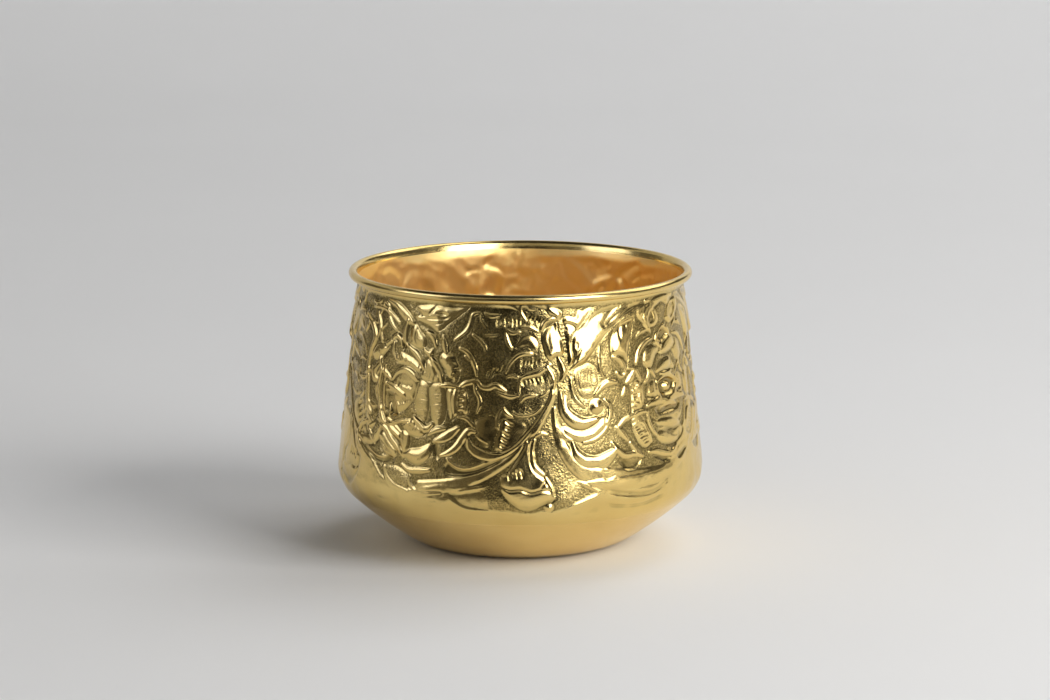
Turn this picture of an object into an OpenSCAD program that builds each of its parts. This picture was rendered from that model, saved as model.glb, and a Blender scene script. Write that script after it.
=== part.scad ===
// Wide-mouthed brass water pot: a raised and embossed wall with a wired rim, brazed to a spun base pan.
// Millimetres, Z up. The origin is the centre of the flat base, on the surface that the pot stands on.
// Every piece is a sheet or wire turned about Z, so one section line, the skin, shapes them all.

/* [Body] */
// Diameter at the widest line, on the shoulder
widest_d = 150; // [140:1:170]
// Height of the rim's top above the table
height = 112.5; // [95:0.5:130]
// Inward lean of the wall, in degrees from vertical
wall_lean = 6.2; // [0:0.1:10]
// Radius of the rounded shoulder between pan and wall
shoulder_r = 15; // [10:0.5:18]

/* [Base pan] */
// Diameter of the flat face that the pot stands on
flat_d = 72; // [60:1:80]
// Radius of the turn from the flat face into the pan's side
heel_r = 23; // [15:1:26]
// Slope of the pan's side just above the heel, in degrees
side_rise = 33; // [28:1:36]
// Radius of the slight bulge of the pan's side
side_r = 170; // [120:5:250]

/* [Sheet] */
// Thickness of the wall's sheet
wall_t = 0.8; // [0.6:0.05:1]
// Thickness of the pan's sheet
pan_t = 0.9; // [0.7:0.05:1.2]

/* [Rim] */
// Diameter of the wire inside the rolled edge
wire_d = 1.8; // [1.4:0.1:2.4]
// Radius of the hollow flare under the rolled edge
flare_r = 9; // [6:0.5:14]
// Outward slope of the flare where the roll starts, in degrees from vertical
flare_out = 20; // [10:1:30]
// How far the edge is rolled round the wire, in degrees
curl = 270; // [240:5:280]

/* [Brazed seam] */
// Width of the lap between the pan's flange and the wall
lap_w = 5.8; // [4:0.1:8]
// Thickness of the brazing metal in the lap
braze_t = 0.15; // [0.1:0.05:0.3]

/* [Hidden] */
$fn = 96;

arc_step = 4;          // largest turn between two points of an arc, in degrees
wire_gap = 0.05;       // left between the wire and the sheet rolled round it
seam_clear = 4;        // turn of the shoulder below the seam, in degrees
scarf = 3;             // turn of the shoulder over which the lap is scarfed, in degrees
lap_limit = 88;        // steepest slope that the flange reaches, in degrees
fillet_w = 0.6;        // width of the braze fillet on the flange's upper edge
brass = "#d9b04f";
spelter = "#e2c878";

// The skin runs from the base to the rim. Its slope grows from 0 degrees on the base to more than 90 on
// the wall, and the outward side of a point with slope a faces along out(a).
function out(a) = [sin(a), -cos(a)];

// Points of an arc from slope a0 to a1. A negative radius gives a hollow arc.
function arc(centre, r, a0, a1) =
    let (n = ceil(abs(a1 - a0) / arc_step))
    [for (i = [0:n]) centre + r * out(a0 + (a1 - a0) * i / n)];

function reversed(points) = [for (i = [len(points) - 1:-1:0]) points[i]];

// Arcs of the pan and the shoulder, each tangent to the next
heel_c = [flat_d / 2, heel_r];
side_c = heel_c + (heel_r - side_r) * out(side_rise);
side_end = asin((widest_d / 2 - shoulder_r - side_c[0]) / (side_r - shoulder_r));
shoulder_c = side_c + (side_r - shoulder_r) * out(side_end);
wall_slope = 90 + wall_lean;

// Arcs of the flare and the rolled edge, on the outward side of the sheet
lip_slope = 90 - flare_out;
curl_r = wire_d / 2 + wire_gap;
roll_z = height - curl_r - wall_t;
flare_z = roll_z + (curl_r - flare_r) * cos(lip_slope);
flare_foot_z = flare_z + flare_r * cos(wall_slope);
wall_foot = shoulder_c + shoulder_r * out(wall_slope);
neck_r = wall_foot[0] - (flare_foot_z - wall_foot[1]) * tan(wall_lean);
flare_c = [neck_r + flare_r * sin(wall_slope), flare_z];
wire_c = [flare_c[0] + (curl_r - flare_r) * sin(lip_slope), roll_z];

// Slopes of the shoulder where the seam starts and where the pan's flange ends
seam = side_end + seam_clear;
flange = min(seam + lap_w / shoulder_r * 180 / PI, lap_limit);
braze_turn = braze_t / shoulder_r * 180 / PI;
lap_in = wall_t + braze_t;

// Lines at depth d inside the skin
function heel_line(d) = arc(heel_c, heel_r - d, 0, side_rise);
function side_line(d) = arc(side_c, side_r - d, side_rise, side_end);
function shoulder_line(d, a0, a1) = arc(shoulder_c, shoulder_r - d, a0, a1);
function flare_line(d) = arc(flare_c, -(flare_r + d), wall_slope, lip_slope);
function curl_line(d) = arc(wire_c, -(curl_r + d), lip_slope, lip_slope - curl);

function wall_line(d, foot) =
    concat(shoulder_line(d, foot, wall_slope), flare_line(d), curl_line(d));

function pan_line(d) = concat(
    [[0, d]],
    heel_line(d),
    side_line(d),
    shoulder_line(d, side_end, seam),
    shoulder_line(d + lap_in, seam + scarf, flange)
);

module turned(section) {
    rotate_extrude() polygon(section);
}

// The tall side of the pot, from the scarfed lap at its foot to the edge rolled over the wire
module wall_shell() {
    color(brass)
        turned(concat(
            wall_line(0, seam + braze_turn),
            reversed(wall_line(wall_t, seam + scarf + braze_turn))
        ));
}

// The stiffening wire that the wall's top edge is rolled round
module rim_wire() {
    color(brass)
        rotate_extrude() translate(wire_c) circle(d = wire_d);
}

// The spun bottom, with a flange turned up inside the wall's foot
module base_pan() {
    color(brass)
        turned(concat(pan_line(0), reversed(pan_line(pan_t))));
}

// The brazing metal that fills the lap, with a fillet on the flange's upper edge
module seam_braze() {
    flange_top = shoulder_c + (shoulder_r - lap_in) * out(flange);
    color(spelter)
        turned(concat(
            shoulder_line(0, seam, seam + braze_turn),
            shoulder_line(wall_t, seam + scarf + braze_turn, flange + scarf),
            [flange_top - fillet_w * out(flange)],
            reversed(shoulder_line(lap_in, seam + scarf, flange))
        ));
}

wall_shell();
rim_wire();
base_pan();
seam_braze();
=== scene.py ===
# A wide-mouthed brass water pot: an embossed wall with a wired rim over a spun base pan.
# The pot's own sizes are in millimetres, as in the CAD design, and are turned into metres as
# meshes are made.
import math
import bpy
import numpy as np
from mathutils import Euler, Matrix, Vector


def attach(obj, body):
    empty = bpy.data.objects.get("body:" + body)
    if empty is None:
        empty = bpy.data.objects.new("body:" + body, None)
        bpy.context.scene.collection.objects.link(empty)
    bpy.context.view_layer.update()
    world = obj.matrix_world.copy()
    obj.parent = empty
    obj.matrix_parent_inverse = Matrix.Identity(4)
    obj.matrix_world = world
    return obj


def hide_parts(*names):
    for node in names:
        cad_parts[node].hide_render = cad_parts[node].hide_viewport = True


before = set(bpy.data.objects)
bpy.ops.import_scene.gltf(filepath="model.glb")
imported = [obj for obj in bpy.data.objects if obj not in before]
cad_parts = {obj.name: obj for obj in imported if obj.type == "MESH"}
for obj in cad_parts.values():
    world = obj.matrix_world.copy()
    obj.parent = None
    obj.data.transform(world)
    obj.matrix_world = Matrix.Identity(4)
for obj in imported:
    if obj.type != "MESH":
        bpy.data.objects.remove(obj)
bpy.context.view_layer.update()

MM = 0.001
rng = np.random.default_rng(7)


# ---------------------------------------------------------------- the skin, as in the CAD design

def out(a):
    """Outward side of a point of the skin whose slope is a, in degrees."""
    return np.array([math.sin(math.radians(a)), -math.cos(math.radians(a))])


WIDEST_D, HEIGHT = 150.0, 112.5
SHOULDER_R, FLAT_D, HEEL_R, SIDE_RISE, SIDE_R = 15.0, 72.0, 23.0, 33.0, 170.0
WALL_T, PAN_T, BRAZE_T = 0.8, 0.9, 0.15
WIRE_R, WIRE_GAP, FLARE_R, CURL, LAP_W = 0.9, 0.05, 9.0, 270.0, 5.8
WALL_SLOPE, LIP_SLOPE = 96.2, 70.0
SCARF, FILLET_W = 3.0, 0.6

HEEL_C = np.array([FLAT_D / 2, HEEL_R])
SIDE_C = HEEL_C + (HEEL_R - SIDE_R) * out(SIDE_RISE)
SIDE_END = math.degrees(math.asin((WIDEST_D / 2 - SHOULDER_R - SIDE_C[0]) / (SIDE_R - SHOULDER_R)))
SHOULDER_C = SIDE_C + (SIDE_R - SHOULDER_R) * out(SIDE_END)
CURL_R = WIRE_R + WIRE_GAP
ROLL_Z = HEIGHT - CURL_R - WALL_T
FLARE_Z = ROLL_Z + (CURL_R - FLARE_R) * math.cos(math.radians(LIP_SLOPE))
FLARE_FOOT_Z = FLARE_Z + FLARE_R * math.cos(math.radians(WALL_SLOPE))
WALL_FOOT = SHOULDER_C + SHOULDER_R * out(WALL_SLOPE)
LEAN = math.tan(math.radians(WALL_SLOPE - 90))
NECK_R = WALL_FOOT[0] - (FLARE_FOOT_Z - WALL_FOOT[1]) * LEAN
FLARE_C = np.array([NECK_R + FLARE_R * math.sin(math.radians(WALL_SLOPE)), FLARE_Z])
WIRE_C = np.array([FLARE_C[0] + (CURL_R - FLARE_R) * math.sin(math.radians(LIP_SLOPE)), ROLL_Z])
SEAM = SIDE_END + 4
FLANGE = min(SEAM + math.degrees(LAP_W / SHOULDER_R), 88)
BRAZE_TURN = math.degrees(BRAZE_T / SHOULDER_R)
LAP_IN = WALL_T + BRAZE_T


def arc(centre, r, a0, a1, step=3.0):
    """Points of an arc between two slopes. A negative radius gives a hollow arc."""
    n = max(1, math.ceil(abs(a1 - a0) / step))
    return [centre + r * out(a0 + (a1 - a0) * i / n) for i in range(n + 1)]


def wall_point(z):
    """(radius, slope) of the wall's outer skin at height z, from the shoulder to the flare."""
    if z < WALL_FOOT[1]:
        a = math.acos((SHOULDER_C[1] - z) / SHOULDER_R)
        return SHOULDER_C[0] + SHOULDER_R * math.sin(a), math.degrees(a)
    if z < FLARE_FOOT_Z:
        return WALL_FOOT[0] - (z - WALL_FOOT[1]) * LEAN, WALL_SLOPE
    a = math.acos(min(1, (z - FLARE_Z) / FLARE_R))
    return FLARE_C[0] - FLARE_R * math.sin(a), math.degrees(a)


# ---------------------------------------------------------------- the sheet that the pattern is chased on

GIRTH_R = 71.0                       # mm, where the pattern's widths are true
HALF_TURN = math.pi * GIRTH_R        # mm, the pattern repeats twice round the pot
CELL = 0.33                          # mm, aimed spacing of the relief grid
FOOT_Z, HEAD_Z = 24.0, 109.0         # mm, the relief lies between these heights
GROUND = -0.42                       # mm, depth of the matted ground
RAISE = 0.37                         # how much of a stroke's height is hammered up
LEFT_HEART, RIGHT_HEART = -41.75, 69.75      # mm round the pot, the middles of the two flowers
CUT = 125.55                         # mm round the pot, where one repeat ends and the next begins


def smooth(t):
    t = np.clip(t, 0.0, 1.0)
    return t * t * (3 - 2 * t)


def spline(points, closed=False, per=8):
    """A smooth curve through the points."""
    p = np.array(points, float)
    n = len(p)
    if closed:
        q = np.vstack([p[-1], p, p[0], p[1]])
        spans = n
    else:
        q = np.vstack([2 * p[0] - p[1], p, 2 * p[-1] - p[-2]])
        spans = n - 1
    t = np.linspace(0, 1, per, endpoint=False)[:, None]
    curve = []
    for i in range(spans):
        a, b, c, d = q[i:i + 4]
        bend = (2 * a - 5 * b + 4 * c - d) * t * t + (3 * b - a - 3 * c + d) * t ** 3
        curve.append(0.5 * (2 * b + (c - a) * t + bend))
    if closed:
        curve.append(p[:1])
    else:
        curve.append(p[-1:])
    return np.vstack(curve)


def nearest(s, z, line):
    """Distance from each cell to a line, and how far along the line its nearest point is."""
    best = np.full(s.shape, 1e9)
    along = np.zeros(s.shape)
    for i in range(len(line) - 1):
        p = line[i, :2]
        v = line[i + 1, :2] - p
        t = np.clip(((s - p[0]) * v[0] + (z - p[1]) * v[1]) / max(v @ v, 1e-9), 0, 1)
        d = np.hypot(s - p[0] - t * v[0], z - p[1] - t * v[1])
        closer = d < best
        best = np.where(closer, d, best)
        along = np.where(closer, i + t, along)
    return best, along


def depth_inside(s, z, line):
    """Distance inside a closed line, negative outside it."""
    d, _ = nearest(s, z, line)
    inside = np.zeros(s.shape, bool)
    for p, q in zip(line[:-1], line[1:]):
        if p[1] != q[1]:
            level = (z >= min(p[1], q[1])) & (z < max(p[1], q[1]))
            inside ^= level & (s < p[0] + (z - p[1]) * (q[0] - p[0]) / (q[1] - p[1]))
    return np.where(inside, d, -d)


class Sheet:
    """One repeat of the wall laid flat: heights in mm over s, round the pot, and z, up it."""

    def __init__(self):
        self.cols = round(HALF_TURN / CELL)
        self.rows = round((HEAD_Z - FOOT_Z) / CELL) + 1
        self.ds = HALF_TURN / self.cols
        self.dz = (HEAD_Z - FOOT_Z) / (self.rows - 1)
        s, z = np.meshgrid(np.arange(self.cols) * self.ds, FOOT_Z + np.arange(self.rows) * self.dz)
        s = np.where(s > CUT, s - HALF_TURN, s)
        self.mat = smooth((z - lower_edge(s)) / 1.8)
        self.h = GROUND * self.mat
        self.flip = None
        self.force = 1.0

    def turn(self, points):
        """The points, mirrored about s = flip if that is set."""
        p = np.array(points, float)
        if self.flip is not None:
            p[:, 0] = 2 * self.flip - p[:, 0]
        return p

    def window(self, p, margin):
        """The grid cells round a line, and their s and z."""
        c0 = math.floor((p[:, 0].min() - margin) / self.ds)
        c1 = math.ceil((p[:, 0].max() + margin) / self.ds)
        r0 = max(0, math.floor((p[:, 1].min() - margin - FOOT_Z) / self.dz))
        r1 = min(self.rows - 1, math.ceil((p[:, 1].max() + margin - FOOT_Z) / self.dz))
        r1 = max(r1, r0 + 1)
        c, r = np.arange(c0, c1 + 1), np.arange(r0, r1 + 1)
        s, z = np.meshgrid(c * self.ds, FOOT_Z + r * self.dz)
        return np.ix_(r, c % self.cols), s, z

    def ridge(self, h, points, moat=0.25, mat=0.0):
        """A raised round line. Each point is (s, z, half width)."""
        line = self.turn(spline(points, per=6))
        at, s, z = self.window(line, 2 + line[:, 2].max())
        d, along = nearest(s, z, line)
        w = np.maximum(np.interp(along, np.arange(len(line)), line[:, 2]), 0.3)
        t = d / w
        body = RAISE * self.force * h * np.clip(w / 0.9, 0.45, 1.0) * np.clip(1 - t * t, 0, 1) ** 1.1
        old = self.h[at]
        low = old - RAISE * moat * np.exp(-(np.maximum(d - w, 0) / 0.6) ** 2)
        inside = smooth((1.15 - t) / 0.4)
        top = np.maximum(old, GROUND + 0.1) * 0.6 + body
        self.h[at] = low * (1 - inside) + np.maximum(top, low) * inside
        self.mat[at] *= 1 - smooth((1.3 - t) / 0.4) * (1 - mat)

    def lobe(self, h, outline, crown=0.5, edge=1.1, moat=0.3, mat=0.0, lean=0.0):
        """A raised leaf or petal with a rolled edge. Its top falls back by lean mm for each mm up."""
        line = self.turn(spline(outline, closed=True))
        at, s, z = self.window(line, 2.5)
        deep = depth_inside(s, z, line)
        reach = min(max(deep.max(), 0.5), 6.0)
        old = self.h[at]
        top = GROUND + self.force * (RAISE * h * smooth(deep / (1.3 * edge)) + crown * smooth(deep / reach))
        top -= lean * (z - line[:, 1].mean()) * smooth(deep / 1.5)
        low = old - RAISE * moat * np.exp(-(np.maximum(-deep, 0) / 0.6) ** 2)
        inside = smooth((deep + 0.35) / 0.7)
        self.h[at] = low * (1 - inside) + (top - 0.4 * RAISE * moat * (1 - smooth(deep / 0.6))) * inside
        self.mat[at] = np.where(deep > -0.3, mat * smooth(deep / 0.8), self.mat[at])

    def field(self, outline):
        """A sunk panel of matted ground."""
        line = self.turn(spline(outline, closed=True))
        at, s, z = self.window(line, 2.0)
        deep = depth_inside(s, z, line)
        sunk = smooth((deep + 0.3) / 1.3)
        self.h[at] = self.h[at] * (1 - sunk) + GROUND * sunk
        self.mat[at] = np.maximum(self.mat[at], smooth((deep - 0.2) / 0.8))

    def dish(self, depth, outline, edge=1.2, mat=0.0):
        """A sunk field inside a closed outline."""
        line = self.turn(spline(outline, closed=True))
        at, s, z = self.window(line, 2.0)
        deep = depth_inside(s, z, line)
        self.h[at] -= depth * smooth((deep + 0.3) / edge)
        w = smooth((deep + 0.2) / 0.7)
        self.mat[at] = self.mat[at] * (1 - w) + mat * w

    def groove(self, depth, points, w=0.5):
        """A chased line of half width w."""
        line = self.turn(spline(points, per=6))
        at, s, z = self.window(line, 3 * w)
        d, along = nearest(s, z, line)
        n = len(line) - 1
        ends = np.clip(np.minimum(along, n - along) / (0.2 * n), 0.25, 1)
        self.h[at] -= 0.8 * depth * ends * np.exp(-(d / w) ** 2)

    def hatch(self, depth, a, b, n, reach, lean=0.0, w=0.42, bow=0.0):
        """n short parallel tool cuts across the line from a to b; lean turns them, in degrees."""
        (s0, z0), (s1, z1) = a, b
        across = math.atan2(z1 - z0, s1 - s0) + math.pi / 2
        turn = across + math.radians(lean)
        for i in range(n):
            t = i / max(n - 1, 1)
            rise = bow * 4 * t * (1 - t)
            s = s0 + (s1 - s0) * t + rise * math.cos(across)
            z = z0 + (z1 - z0) * t + rise * math.sin(across)
            r = reach * (0.85 + 0.3 * math.sin(2.4 * i + s0))
            ds, dz = r * math.cos(turn), r * math.sin(turn)
            cut = [(s - ds, z - dz), (s + 0.15 * dz, z - 0.15 * ds), (s + ds, z + dz)]
            self.groove(1.8 * depth, cut, w)

    def bead(self, h, s, z, r):
        """A round boss."""
        ring = [(s + r * math.cos(i * math.pi / 4), z + r * math.sin(i * math.pi / 4)) for i in range(8)]
        self.lobe(h * 0.55, ring, crown=h * 0.6, edge=r * 0.7)


# ---------------------------------------------------------------- the pattern, stroke by stroke

def lower_edge(s):
    """Height where the ground starts above the plain foot of the wall."""
    stops = [(-97.5, 57), (-80, 52), (-70, 45), (-60, 36), (-45, 32.5), (-32, 36), (14, 37), (30, 38),
             (50, 38), (62, 39), (72, 46), (82, 54), (92, 57), (125.6, 57)]
    return np.interp(s, [p[0] for p in stops], [p[1] for p in stops])


def borders(c):
    """The low swags on the plain foot of the wall."""
    c.ridge(0.32, [(-46.5, 28.8, 0.4), (-40, 28.3, 0.7), (-33, 29.4, 0.5)], moat=0.12)
    c.ridge(0.35, [(-46, 33.8, 0.4), (-40, 32.3, 0.8), (-31, 33.4, 0.5)], moat=0.15)
    c.groove(0.22, [(-63, 28), (-58, 27.5), (-53, 27.4)], 0.5)
    for shift in (0, 1.1):
        c.groove(0.5, [(32.5, 35.2 - shift), (38, 33.4 - shift), (45, 32 - shift), (52, 31.3 - shift),
                       (58, 32 - shift), (63.4, 34.4 - shift)], 0.42)
        c.groove(0.5, [(33, 29.8 - shift), (38, 27.9 - shift), (50, 26.8 - shift), (58, 27.9 - shift),
                       (63, 28.7 - shift)], 0.42)


def stems(c):
    """The two main stems that leave the junction and sweep down on each side of the hanging leaf."""
    c.ridge(0.5, [(13.2, 68, 0.9), (13.7, 62, 1.2), (15.6, 55, 2.0), (18.8, 49, 2.9), (23.8, 43.9, 3.8),
                  (31, 40, 4.4), (42, 38, 4.0), (55, 37.4, 3.4), (67, 38.5, 2.5), (77, 42, 2.0),
                  (85, 48, 1.4)], moat=0.2)
    c.field([(-27.5, 33.6), (-22, 34.9), (-15, 36.6), (-9, 40), (-4, 44.6), (1.5, 51), (6, 58),
             (9.5, 63.5), (11.8, 67.6), (12.3, 62), (12.8, 57), (14.5, 52), (17.5, 46), (21, 41),
             (25, 37), (29.5, 33.8), (25, 31.5), (20, 29.5), (15, 27.4), (12, 26.8), (9, 27.4), (5, 26.2),
             (0, 26.2), (-5, 27.2), (-12, 27.4), (-20, 28), (-24.5, 30)])
    c.dish(0.0, [(-29, 33.6), (-24, 35), (-17, 36), (-13, 34), (-12, 30), (-13, 27), (-20, 27.4),
                 (-25, 29.6)])
    c.ridge(0.55, [(-40, 35.2, 2.4), (-31, 36.2, 2.8), (-22, 38.4, 2.4), (-13.5, 42, 1.8),
                   (-6.5, 46.4, 1.5), (-0.5, 51.6, 1.2), (4.6, 57.6, 1.0), (9, 64.4, 0.9),
                   (12.6, 71.6, 1.0), (13.4, 79, 0.9)], moat=0.25)
    c.groove(0.2, [(13.2, 72), (12.5, 65), (12.9, 59), (14.8, 53)], 0.45)
    c.groove(0.25, [(16.8, 57.4), (19.4, 52), (24, 47), (30, 43.6)], 0.45)
    c.ridge(0.35, [(14.4, 60.8, 0.4), (15.8, 57.6, 0.7), (18, 55.4, 0.5)], moat=0.1)


def hanging_leaf(c):
    """The curled leaf that hangs between the two stems."""
    c.lobe(1.25, [(-8, 41.5), (-7, 36), (-4, 31.5), (0, 28.6), (4, 27.9), (7.4, 29.6), (10, 31),
                  (12.4, 32), (11.8, 37), (9.5, 41), (7, 43), (5.2, 47), (4.4, 52), (5.2, 57.5),
                  (2, 54.5), (-1, 49.5), (-4.8, 43.5)], crown=0.1, edge=1.4, moat=0.6, lean=-0.02)
    c.lobe(1.1, [(-7.4, 37.4), (-6.4, 34.5), (-4, 31.5), (0, 28.8), (4, 28.1), (7.4, 29.8), (10, 31.2),
                 (12.2, 32.2), (11.8, 35.4), (8, 36.4), (4, 35.6), (0, 36.8), (-4, 36.6)], crown=0.1,
           edge=1.3, moat=0.1, lean=-0.11)
    c.hatch(0.3, (-4.6, 41.6), (0.3, 42.6), 4, 2.1, lean=4)
    c.ridge(0.45, [(2.4, 55, 0.5), (2.6, 49, 0.7), (4.4, 42.5, 0.6)])
    c.ridge(0.6, [(5.4, 56.5, 0.5), (4.5, 51, 0.8), (5.4, 45.5, 0.9), (8.8, 42, 0.6)], moat=0.4)
    c.ridge(0.5, [(9.5, 41, 0.5), (11.6, 37, 0.7), (12.4, 33, 0.6)])
    c.groove(0.35, [(9.6, 40.4), (8.6, 38), (7.4, 36.4)], 0.5)
    c.ridge(0.5, [(5.8, 57.2, 0.5), (8, 58.4, 0.6), (10.3, 57.8, 0.4)])
    c.bead(0.9, 10.8, 28.9, 1.7)


def bud(c):
    """The tulip bud that stands on the junction."""
    c.lobe(1.2, [(8.5, 97), (9.8, 99.8), (12.6, 101.2), (15, 101.6), (15.4, 98), (16.8, 94.8), (17.9, 91),
                 (17, 88.2), (14.2, 87.8), (12.4, 86.6), (10.4, 88.4), (9.2, 92), (8.3, 95)], crown=0.2,
           edge=1.6, moat=0.5, lean=0.12)
    c.groove(0.12, [(12, 98.5), (11.6, 94), (12.6, 90)], 0.5)
    c.ridge(0.6, [(8.6, 98.6, 0.5), (10, 101.6, 0.8), (13, 103, 0.8), (15.6, 102.6, 0.4)])
    c.ridge(0.9, [(15.6, 87.6, 0.6), (16.9, 84.6, 1.3), (17.6, 81.8, 1.1), (16.6, 79, 0.6)], moat=0.4)
    c.ridge(0.8, [(10.6, 84.4, 0.5), (12.2, 81.6, 1.3), (13.4, 78.6, 0.9), (13.4, 76, 0.5)], moat=0.4)


def crown_leaves(c):
    """The broad leaves over the right-hand scroll and the small ones at the rim."""
    c.lobe(0.9, [(9.4, 109), (13, 108.4), (17.2, 105.4), (16, 102.4), (12.8, 104), (10.2, 106.6)],
           crown=0.2, lean=0.14)
    c.lobe(0.9, [(17.4, 101.8), (19.6, 103.6), (23.4, 103), (24.6, 105.8), (26.6, 105.2), (30.6, 106.8),
                 (28.4, 103.6), (26.4, 101), (23.6, 98.2), (22.2, 96.8), (20.4, 99)], crown=0.2, lean=0.13)
    c.lobe(0.7, [(18.4, 101.4), (23, 100), (23.4, 95), (23.6, 90), (22.4, 86), (20, 84), (19.2, 88),
                 (19, 93), (18, 97.6)], crown=0.2, edge=1.6, moat=0.3, lean=0.05)
    c.hatch(0.3, (18.4, 89.6), (18, 100), 8, 1.2, lean=20, w=0.36)
    c.lobe(1.0, [(19.6, 82.4), (21.8, 86), (21, 91), (21.2, 95), (23.2, 97), (27, 99.4), (30.4, 103.2),
                 (36, 105.6), (44.6, 106.2), (40.4, 102.6), (37.2, 99.4), (43.6, 102.8), (50, 105.8),
                 (57, 106), (52, 103.6), (45, 100.8), (38, 96.4), (33, 92), (29.6, 88), (26.6, 85),
                 (23, 83.8)], crown=0.15, edge=2.2, moat=0.3, lean=0.09)
    c.groove(0.6, [(36.4, 98.9), (41, 101.6), (46.5, 104.6), (51, 106.4)], 0.6)
    c.groove(0.4, [(20.6, 83.4), (23, 87.4), (25.6, 91.6)], 0.4)
    c.groove(0.3, [(23.6, 93.6), (23.2, 90.6)], 0.5)
    c.lobe(0.9, [(38.8, 90), (39.4, 94), (42, 97.6), (46, 99.6), (51.6, 100.6), (50.4, 97), (49, 93),
                 (47.6, 89), (46.6, 84), (44.4, 85.8), (41, 86.6), (39.2, 87.6)], crown=0.4, edge=1.8,
           moat=0.5, lean=0.08)
    c.groove(0.3, [(44.4, 99), (43.4, 95.6), (43.6, 92.6)], 0.5)
    c.groove(0.25, [(47.4, 98.6), (46, 95)], 0.5)
    c.ridge(0.8, [(39.6, 86.4, 0.6), (42.4, 85.2, 1.2), (44.4, 82.6, 1.2), (45.2, 79.4, 0.8)], moat=0.4)
    c.ridge(0.7, [(41, 80.2, 0.5), (42.8, 78.4, 0.9), (44.8, 78.8, 0.6)])
    c.ridge(0.5, [(33.4, 90.5, 0.5), (32.8, 86, 0.7), (33.4, 81.5, 0.6), (35.4, 78.2, 0.4)], mat=0.3)


def right_scroll(c):
    """Nested crescents in the scroll to the right of the junction."""
    c.lobe(0.3, [(22, 82), (22.4, 76.6), (24.6, 71.8), (28, 70.8), (31, 73), (32.2, 78), (31, 83),
                 (26.6, 85)], crown=0.0, edge=2.0, moat=0.4, mat=0.35)
    for i in range(5):
        c.groove(0.4, [(23.6 + 1.4 * i, 82.6), (23.4 + 1.5 * i, 78), (24.8 + 1.2 * i, 73.4)], 0.35)
    c.ridge(0.5, [(20.4, 79.6, 0.4), (20.6, 76, 0.8), (21.6, 72.6, 1.0), (23.4, 70, 0.8),
                  (25.6, 68.2, 0.5)], moat=0.3)
    c.lobe(0.5, [(15.6, 60.2), (17, 57.4), (20.4, 55.2), (25, 53.8), (30, 55), (34, 58), (36.4, 61.4),
                 (33.4, 62.6), (28, 59.4), (22, 58.8), (18, 60.6)], crown=0.3, edge=1.0)
    c.ridge(0.5, [(15, 60.8, 0.5), (17.4, 57, 0.7), (20.4, 54.8, 0.5)])
    c.ridge(0.5, [(24.6, 53.8, 0.4), (29.6, 54.8, 0.7), (33.6, 57.4, 0.7), (36.2, 61, 0.5)])
    c.ridge(1.3, [(16, 74.5, 0.6), (16.9, 68.6, 1.7), (19.8, 64, 2.5), (24.8, 61.4, 2.4),
                  (30.4, 62.6, 1.3)], moat=0.5)
    c.ridge(0.5, [(18, 72.6, 0.4), (18.2, 70, 0.7), (18.8, 67.6, 0.5)])
    c.bead(1.1, 31, 67.6, 3.2)
    c.ridge(0.8, [(34.6, 70, 0.5), (36.6, 67.4, 1.0), (36.6, 63.8, 0.9), (35, 60.6, 0.5)], moat=0.35)
    c.ridge(0.8, [(30.4, 72, 0.5), (34, 75.4, 1.1), (37, 76.6, 1.4), (40.6, 76.4, 0.7)], moat=0.4)
    c.ridge(1.2, [(20.6, 54, 0.6), (21.8, 50.2, 1.6), (25.4, 47, 2.2), (30.4, 46.2, 2.2), (35.4, 47.6, 2.3),
                  (38.4, 49.8, 1.2)], moat=0.5)
    c.ridge(0.5, [(30.8, 44, 0.4), (33.6, 44.4, 0.9), (36.4, 46, 0.6)])
    for i in range(3):
        c.groove(0.22, [(31.6 + 0.4 * i, 42.4 - 1.3 * i), (34.4, 41.6 - 1.3 * i), (38.4, 43.2 - 1.3 * i)],
                 0.4)
    c.ridge(0.7, [(36.8, 53, 0.5), (39.6, 49.4, 1.1), (43, 47.2, 1.3), (47.4, 47.2, 1.0),
                  (51.4, 45.6, 0.5)], moat=0.3)
    c.dish(0.5, [(40, 45.6), (42.4, 41.6), (46, 40.9), (49.6, 42.6), (50.6, 44.8), (45.4, 45.2)], mat=0.2)
    c.ridge(0.6, [(45.6, 52, 0.6), (47.6, 49.2, 1.0), (51.4, 45.8, 0.6)])
    c.ridge(0.7, [(40.4, 58.8, 0.5), (43.4, 61, 0.9), (48, 62.4, 0.8), (51.4, 62.8, 0.4)], moat=0.3)
    c.ridge(0.6, [(39.2, 58.8, 0.5), (41.8, 56.4, 1.5), (44.4, 53.2, 0.7)], moat=0.3)
    c.ridge(0.5, [(43, 70.4, 0.4), (44, 72, 0.8), (44.8, 74, 0.5)])


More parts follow.
